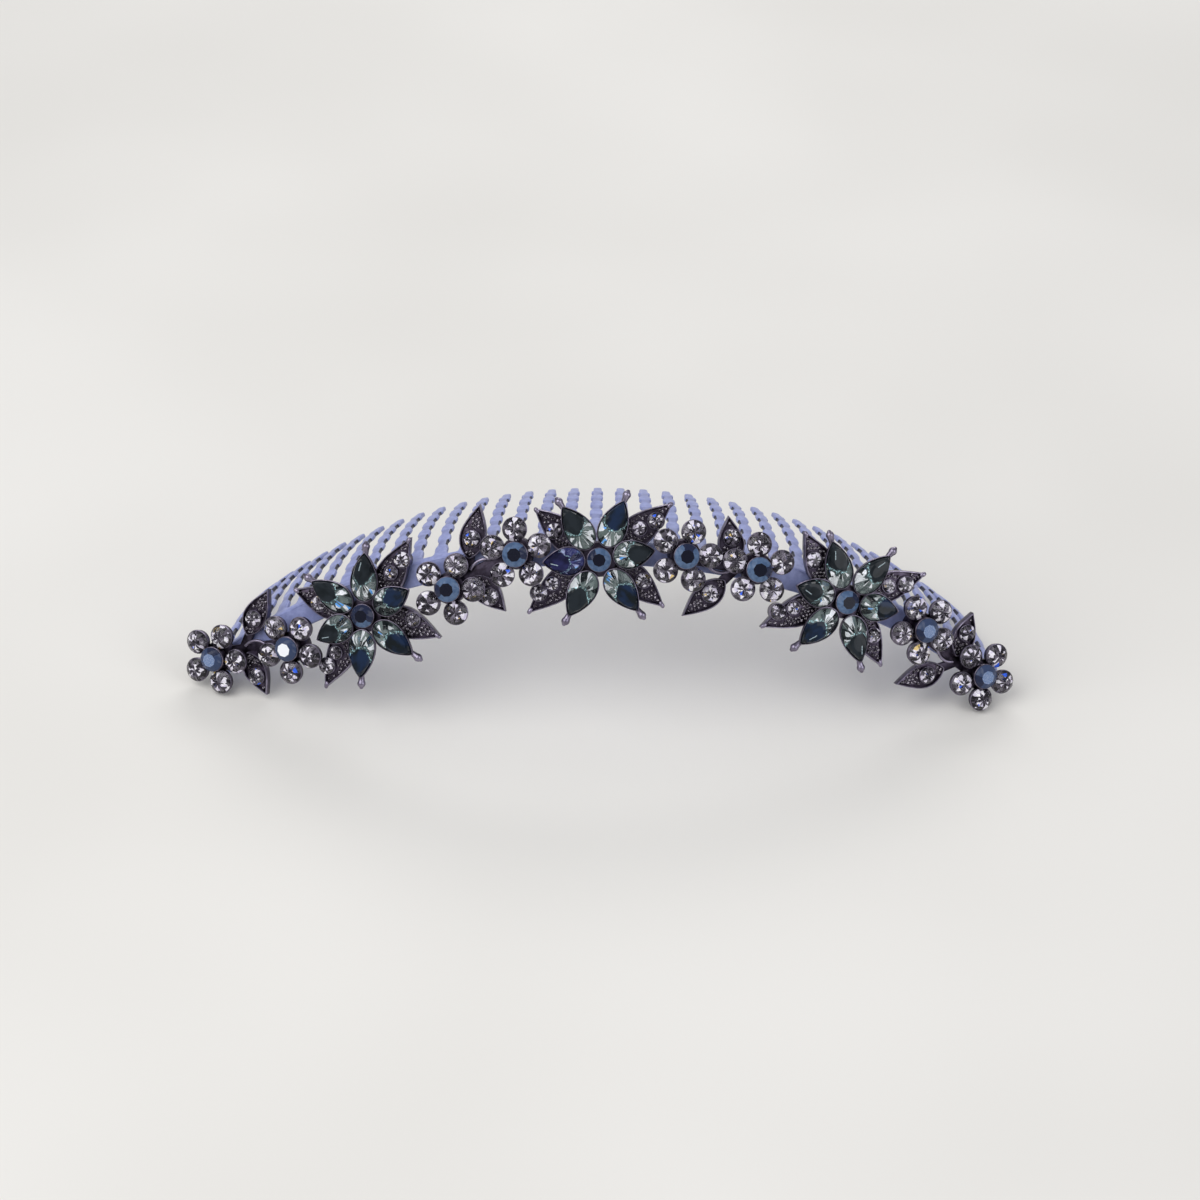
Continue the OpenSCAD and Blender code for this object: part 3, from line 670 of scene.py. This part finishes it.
def reflection_shards(s, a, r, seed, count, share, salt):
    """1 on bright splinters of painted reflection: in a share of the fan's sectors, a triangle with
    its point inwards that starts at a random radius and is cut off at another."""
    turn = a * count + seed * 0.37

    def lot(k):
        return s.chance(turn.floor(), seed * 7 + salt, k)

    across = abs(turn.fract() - 0.5) * 2
    start = lot(1) * 0.4 + 0.06
    return (lot(2) < share) * (across < (r - start) * 2.0) * (r < start + 0.32 + lot(3) * 0.5)


def clear_stone():
    """Painted reflections of a cut stone: nearly black violet facets in a fan, with bright
    splinters of painted reflected light and a few that flash yellow or blue."""
    s = Shader("clear_stone", Roughness=0.06, Coat_Weight=0.2, Coat_Roughness=0.02, IOR=1.36)
    x, y, seed = s.spot()
    a, r = polar_place(x, y)
    # Painted reflections: the fan of nearly black to grey violet facets.
    ground = s.mix(cells(s, a, r, seed, 13, 0.6, 2.2) ** 3,
                   (0.005, 0.004, 0.007, 1), (0.17, 0.15, 0.19, 1))
    # Painted reflected light: white and pale violet, with a few painted flashes of yellow or blue.
    light = s.mix(cells(s, a, r, seed, 9, 1.2, 2.2, 40), (1, 0.98, 1, 1), (0.68, 0.62, 0.78, 1))
    lot = cells(s, a, r, seed, 6, 0.8, 1.7, 80)
    light = s.mix(lot > 0.97, s.mix(lot < 0.035, light, (0.90, 0.66, 0.22, 1)),
                  (0.03, 0.14, 0.9, 1))
    # Painted reflections: where the bright splinters and cells lie.
    highlight = reflection_shards(s, a, r, seed, 9, 0.4, 5) + reflection_shards(s, a, r, seed, 15, 0.16, 11) \
        + (cells(s, a, r, seed, 11, 1.1, 3.1, 20) > 0.94)
    s.drive(Base_Color=s.mix(highlight > 0.5, ground, light))
    return s.material


def pave_stone():
    """The tiny stones of the leaves, in painted reflections: nearly black, a few grey and fewer
    painted white glints.
    """
    s = Shader("pave_stone", Roughness=0.1, Coat_Weight=0.4, Coat_Roughness=0.03, IOR=1.4)
    x, y, seed = s.spot()
    a, r = polar_place(x, y)
    lot = cells(s, a, r, seed, 5, 0.5, 1.7)
    # Painted reflections: nearly black to grey facets.
    ground = s.mix(lot.ramp(0.3, 0.9), (0.010, 0.008, 0.011, 1), (0.13, 0.11, 0.135, 1))
    # Painted white glints.
    s.drive(Base_Color=s.mix(lot > 0.8, ground, (0.75, 0.69, 0.78, 1)))
    return s.material


def blue_stone():
    """Even slate blue crown with a sector of painted shade, and a navy table. Three seeds stand
    apart: on stones that mirror the light, the table is a painted reflection, white or pale slate,
    with the outer crown darker as painted shade; on one that lies in shade most is painted dark."""
    s = Shader("blue_stone", Roughness=0.22, IOR=1.36)
    x, y, seed = s.spot()
    a, r = polar_place(x, y)
    sector = (a + seed * 0.137).fract()
    crown = s.mix(s.noise(2.5, 2, s.vector(x, y, seed)).ramp(0.35, 0.65),
                  (0.058, 0.105, 0.20, 1), (0.095, 0.155, 0.27, 1))
    # Painted shade: the outer crown darker on stones whose table carries the painted reflection.
    crown = s.mix((seed > PALE_REFLECTION - 1) * (r > 0.5), crown, (0.035, 0.055, 0.12, 1))
    # Painted shade: the share of the crown in the dark sector, most of it on the stone that lies in
    # shade.
    shade_share = 0.19 + 0.55 * (abs(seed - SHADED) < 0.5)
    crown = s.mix((sector < shade_share) * (seed < WHITE_REFLECTION), crown, (0.012, 0.018, 0.05, 1))
    # Painted reflection of light: a pale slate table, white on one stone.
    table = s.mix(seed > PALE_REFLECTION - 1, (0.002, 0.003, 0.012, 1), (0.12, 0.19, 0.36, 1))
    table = s.mix(seed > WHITE_REFLECTION - 1, table, (0.9, 0.92, 0.95, 1))
    s.drive(Base_Color=s.mix(r < TABLE, crown, table))
    return s.material


def drop_paint(name, pale, mid, dark, shaded_disc, reflection_white, flash):
    """Paint of a drop: a dark disc of painted shade towards the point, where the facet slopes away
    from the light, on some with a dashed streak of painted highlight, a smooth pale collar round
    it, a fan of facets in painted reflections with bright splinters of painted reflection at the
    round end and painted glints where the two meet."""
    s = Shader(name, Roughness=0.06, Specular_IOR_Level=0.3, IOR=1.36)
    x, y, seed = s.spot()
    a, r = polar_place((x - 0.42) * 1.9, y * 0.9)
    # Painted reflections: the fan's pale, mid and dark facets.
    fan = s.mix(cells(s, a, r, seed, 11, 0.5, 2.6), mid, pale)
    fan = s.mix(cells(s, a, r, seed, 9, 0.5, 2.1, 30) < 0.3, fan, dark)
    # Painted reflected light of the splinters, with a few painted flashes of colour.
    light = s.mix(cells(s, a, r, seed, 7, 0.8, 1.9, 60) * 0.6, reflection_white, pale)
    light = s.mix(cells(s, a, r, seed, 5, 0.8, 1.5, 70) > 0.92, light, flash)
    highlight = reflection_shards(s, a, r, seed, 13, 0.2, 5) + reflection_shards(s, a, r, seed, 23, 0.26, 9) \
        + reflection_shards(s, a, r, seed, 37, 0.2, 13)
    fan = s.mix(highlight > 0.5, fan, light)
    wander = s.noise(1.6, 2, s.vector(x * 2, y, seed)) * 0.6 - 0.3
    d = (((x - 0.78) / 0.42) ** 2 + y ** 2) ** 0.5 + wander
    # Painted glints along the edge of the dark disc.
    glint_sparks = (abs(d - 1.03) < 0.08) * (s.noise(6, 2, s.vector(x * 4, y * 3, seed)) > 0.58)
    collar = s.mix((d < 1.2) * (y + wander * 3 > 0), fan, mid)
    collar = s.mix(glint_sparks, collar, (0.55, 0.9, 0.95, 1))
    # Painted highlight: a dashed streak on some of the discs.
    highlight_streak = (abs(y - 0.2 + (x - 0.7) * 0.8) < 0.03) * (abs(x - 0.74) < 0.09) \
        * ((x * 30 + seed).fract() > 0.3) * ((seed * 0.31).fract() > 0.66)
    # Painted shade: the dark disc, near-black or navy, where the facet slopes away from the light.
    shaded_disc = s.mix((seed * 0.37).fract() > 0.64, shaded_disc, (0.012, 0.024, 0.058, 1))
    tip = s.mix(s.noise(1.3, 2, s.vector(x * 2, y, seed)).ramp(0.35, 0.65), dark, shaded_disc)
    tip = s.mix(highlight_streak, tip, (0.5, 0.62, 0.66, 1))
    s.drive(Base_Color=s.mix(d.ramp(1.04, 0.94), collar, tip))
    return s.material


# ---- pieces ----
def piece(name, parts, material, slot, nodes, smooth=True):
    """One object of closed shells that rides on the comb and stands for CAD nodes."""
    sizes = np.cumsum([0] + [len(p[0]) for p in parts])
    v = np.concatenate([p[0] for p in parts])
    t = np.concatenate([p[1] + k for p, k in zip(parts, sizes)])
    mesh = bpy.data.meshes.new(name)
    mesh.from_pydata(v, [], t)
    spots = mesh.attributes.new("spot", "FLOAT_VECTOR", "CORNER")
    spots.data.foreach_set("vector", np.concatenate([p[2].reshape(-1) for p in parts]))
    if smooth:
        mesh.shade_smooth()
        mesh.set_sharp_from_angle(angle=np.radians(SHARP_ANGLE))
    mesh.materials.append(material)
    mesh.update()
    obj = bpy.data.objects.new(name, mesh)
    bpy.context.scene.collection.objects.link(obj)
    if nodes:
        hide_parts(*nodes)
    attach(obj, "root")


def leaf_frames():
    """For each leaf of a spray: the place of its base, its direction, length, width and sweep, and
    its round stones, each with its place and radius."""
    for row in LEAVES:
        tip = FLOWER_GAP * np.array(row["tip"])
        base = tip - polar(row["angle"], row["length"])
        stone = tip - polar(row["angle"], row["stone"] * row["length"])
        yield (base, row["angle"], row["length"], LEAF_W, row["sweep"] * LEAF_W,
               [(stone, LEAF_STONE_R)])


def sepal_frames():
    """The same for each sepal of a large flower."""
    for row in SEPALS:
        stones = [(polar(s["angle"], s["place"] * DROP_OUT), s["size"] * LEAF_STONE_R)
                  for s in SEPAL_STONES if abs(s["angle"] - row["angle"]) < SEPAL_SPREAD]
        yield (polar(row["angle"], DROP_IN), row["angle"], row["reach"] * DROP_OUT - DROP_IN,
               SEPAL_W, row["sweep"] * SEPAL_W, stones)


def leaves(row, frames, beads=False):
    """The metal of a casting's leaves, with their stones' cups, and the stones."""
    parts, stones = [], []
    for base, angle, l, w, sweep, big in frames:
        parts.append(placed(row, leaf(l, w, sweep), (*base, 0), angle))
        if beads:
            parts.append(placed(row, bead(l, sweep), (*base, 0), angle))
        for c, r in big:
            parts.append(placed(row, low_cup(r), (*c, 0)))
            stones.append(placed(row, round_stone(r, any_seed()), (*c, LOW_FLOOR_Z + STONE_GAP)))
    return parts, stones


def pave(row, frames):
    """Tiny domed stones in staggered rows on each leaf's floor, where its big stones leave room,
    each with a grain of metal beside it."""
    stones, grains = [], []
    r, step = TINY_R, TINY_STEP
    grain = height_highlight(lathe([(0.13, 0), (0.15, 0.14), (0.08, 0.24)], 5), 0, 0.4)
    for base, angle, l, w, sweep, big in frames:
        across, along = np.meshgrid(np.arange(-4, 5), np.arange(1, int(l / step)))
        x = (along + 0.5 * (across % 2)).reshape(-1) * step
        y = across.reshape(-1) * 0.86 * step
        share = np.clip((x - EDGE_W) / (l - LEAF_SHRINK * EDGE_W), 0, 1)
        keep = np.abs(y) < leaf_half(share, w, EDGE_W) - r - 0.05
        y = y + leaf_bend(x, l, sweep)
        spots = moved(np.stack([x, y, 0 * x], -1)[keep], (*base, 0), angle)[:, :2]
        spots = spots + rng.uniform(-0.08, 0.08, spots.shape)
        for c, q in big:
            spots = spots[np.hypot(*(spots - c).T) > q + MARGIN + r]
        for p in spots:
            dome = lathe([(0.95 * r, 0), (r, 0.12), (0.75 * r, 0.32), (0.3 * r, 0.44)], 6,
                         rng.random())
            stones.append(placed(row, spotted(dome, r, any_seed(), 0.5), (*p, TINY_Z)))
            q = p + polar(rng.uniform(0, 360), 1.3 * r)
            grains.append(placed(row, grain, (*q, TINY_Z + 0.02)))
    return stones, grains


def make_spray(n, row):
    """A spray: its bar, leaves and stem, and at each end of the bar a small flower of five clear
    stones round a blue one."""
    half_gap = row["spread"] * FLOWER_GAP / 2
    frames = list(leaf_frames())
    leaf_metal, leaf_stones = leaves(row, frames)
    stem_at, stem_angle = frames[0][:2]
    parts = [placed(row, box_bar(half_gap, BAR_W)), *leaf_metal,
             placed(row, box_bar(STEM_SHARE * LONG_LEAF_L, STEM_W), (*stem_at, 0), stem_angle),
             placed(row, stem_arc())]
    tiny, grains = pave(row, frames)
    for side, x in ("left", -half_gap), ("right", half_gap):
        parts.append(placed(row, post(PETAL_REACH - ROUND_R - MARGIN + POST_BITE), (x, 0, 0)))
        parts.append(placed(row, cup(BLUE_R + MARGIN, BLUE_R + STONE_GAP, CUP_Z, CENTRE_FLOOR_Z,
                                     CENTRE_TOP_Z), (x, 0, 0)))
        petals = []
        for k in range(PETAL_COUNT):
            angle = row[side] + 360 / PETAL_COUNT * k
            p = polar(angle, PETAL_REACH) + [x, 0]
            parts.append(placed(row, cup(ROUND_R + MARGIN, ROUND_R + STONE_GAP, CUP_Z, CUP_FLOOR_Z,
                                         CUP_TOP_Z), (*p, 0)))
            petals.append(placed(row, round_stone(ROUND_R, any_seed()),
                                 (*p, CUP_FLOOR_Z + STONE_GAP), angle))
        piece(f"petal_stones_{n}_{side}", petals, clear, "clear_stone",
              [f"petal_stones_{n}_{side}"], False)
        stone = placed(row, round_stone(BLUE_R, BLUE_SEEDS[n, side]),
                       (x, 0, CENTRE_FLOOR_Z + STONE_GAP))
        piece(f"blue_stone_{n}_{side}", [stone], blue, "blue_stone", [f"blue_stone_{n}_{side}"],
              False)
    piece(f"spray_metal_{n}", parts + grains, metal, "setting_metal", [f"spray_setting_{n}"])
    piece(f"leaf_stones_{n}", leaf_stones, clear, "clear_stone", [f"leaf_stones_{n}"], False)
    piece(f"leaf_grains_{n}", tiny, tiny_clear, "clear_stone", (), False)


def make_flower(n, row):
    """A large flower: a hub with the heart's cup, sepals with beads on their tips, and six drops,
    of which the two at the sides are shorter and have no prong."""
    frames = list(sepal_frames())
    sepal_metal, sepal_stones = leaves(row, frames, beads=True)
    parts = [placed(row, post(DROP_IN + HUB_BITE)),
             placed(row, cup(HEART_R + MARGIN, HEART_R + STONE_GAP, CUP_Z, HEART_FLOOR_Z,
                             HEART_TOP_Z)), *sepal_metal]
    for k in range(DROP_COUNT):
        angle, side = row["drops"][k] + 360 / DROP_COUNT * k, k % 3 == 0
        l = SIDE_DROP_L if side else DROP_L
        parts.append(placed(row, drop_cup(l), turn=angle))
        if not side:
            parts.append(placed(row, prong(), turn=angle))
        at = (*polar(angle, DROP_IN), CUP_FLOOR_Z + STONE_GAP)
        stone = placed(row, drop_stone(l, any_seed()), at, angle)
        paint = (violet, "violet_stone") if (n, k) == VIOLET_DROP else (green, "drop_stone")
        piece(f"drop_stone_{n}_{k + 1}", [stone], *paint, [f"drop_stone_{n}_{k + 1}"], False)
    tiny, grains = pave(row, frames)
    piece(f"flower_metal_{n}", parts + grains, metal, "setting_metal", [f"flower_setting_{n}"])
    stone = placed(row, round_stone(HEART_R, HEART_SEEDS[n - 1]), (0, 0, HEART_FLOOR_Z + STONE_GAP))
    piece(f"heart_stone_{n}", [stone], blue, "blue_stone", [f"heart_stone_{n}"], False)
    piece(f"sepal_stones_{n}", sepal_stones, clear, "clear_stone", [f"sepal_stones_{n}"], False)
    piece(f"sepal_grains_{n}", tiny, tiny_clear, "clear_stone", (), False)


metal, enamel, clear = gunmetal(), comb_enamel(), clear_stone()
tiny_clear, blue = pave_stone(), blue_stone()
# In each drop paint, the disc colour is painted shade, and the white and flash colours are painted
# reflected light.
green = drop_paint(
    "drop_stone", pale=(0.165, 0.205, 0.195, 1), mid=(0.05, 0.068, 0.07, 1),
    dark=(0.008, 0.011, 0.013, 1), shaded_disc=(0.018, 0.023, 0.028, 1), reflection_white=(0.95, 0.97, 1, 1),
    flash=(0.12, 0.38, 0.85, 1))
violet = drop_paint(
    "violet_stone", pale=(0.06, 0.065, 0.19, 1), mid=(0.02, 0.022, 0.085, 1),
    dark=(0.008, 0.008, 0.028, 1), shaded_disc=(0.022, 0.023, 0.085, 1), reflection_white=(0.42, 0.46, 0.72, 1),
    flash=(0.3, 0.55, 0.95, 1))

piece("comb_metal", [band(), *teeth()], enamel, "comb_metal", ["comb"])
for n, row in enumerate(SPRAYS, 1):
    make_spray(n, row)
for n, row in enumerate(FLOWERS, 1):
    make_flower(n, row)


# ---- floor, light and camera ----
def stage():
    """A square of pale paper under the lowest point of the part."""
    s = Shader("floor_paper", Roughness=0.8)
    s.drive(Base_Color=s.mix(s.noise(6, 2).ramp(0.3, 0.7),
                             (0.74, 0.72, 0.67, 1), (0.80, 0.78, 0.73, 1)))
    side = 3.0
    mesh = bpy.data.meshes.new("floor")
    mesh.from_pydata([(-side, -side, 0), (side, -side, 0), (side, side, 0), (-side, side, 0)],
                     [], [(0, 1, 2, 3)])
    mesh.materials.append(s.material)
    floor = bpy.data.objects.new("floor", mesh)
    bpy.context.scene.collection.objects.link(floor)
    floor.location.z = cad_box[0][2]


def lamp(name, at, size, power, colour=(1, 1, 1)):
    """A rectangle of light that faces the middle of the part."""
    middle = (0, 0, 0.03)
    data = bpy.data.lights.new(name, "AREA")
    data.shape, data.energy, data.color = "RECTANGLE", power, colour
    data.size, data.size_y = size
    obj = bpy.data.objects.new(name, data)
    obj.location = at
    obj.rotation_euler = (Vector(middle) - Vector(at)).to_track_quat("-Z", "Y").to_euler()
    bpy.context.scene.collection.objects.link(obj)


stage()
lamp("key", (-0.5, -0.35, 0.75), (0.9, 0.9), 6)
lamp("fill", (0.7, -0.5, 0.5), (0.6, 0.6), 2.6, (0.95, 0.96, 1))
lamp("rim", (0.1, 0.8, 0.6), (0.8, 0.3), 3)
world = bpy.data.worlds.new("soft_room")
world.use_nodes = True
background = world.node_tree.nodes["Background"]
background.inputs["Color"].default_value = (0.9, 0.92, 1.0, 1)
background.inputs["Strength"].default_value = 0.42
bpy.context.scene.world = world
bpy.context.scene.view_settings.view_transform = "Standard"

# The camera's aim in the arch's own frame, in mm, its height over the arch's plane, in degrees, its
# distance, and its roll, in degrees
AIM, HEIGHT, DISTANCE, ROLL = np.array([-1.48, 103.3, 2.9]), 43, 620, 1
rise = np.radians(HEIGHT)
eye = Vector(stand(AIM + DISTANCE * np.array([0, np.sin(rise), np.cos(rise)])))
look = (Vector(stand(AIM)) - eye).to_track_quat("-Z", "Y")
camera = bpy.data.objects.new("camera", bpy.data.cameras.new("camera"))
camera.data.lens, camera.data.sensor_width = 93, 36
camera.data.clip_start = 0.01
camera.location = eye
camera.rotation_euler = (look @ Quaternion((0, 0, 1), np.radians(ROLL))).to_euler()
bpy.context.scene.collection.objects.link(camera)
bpy.context.scene.camera = camera
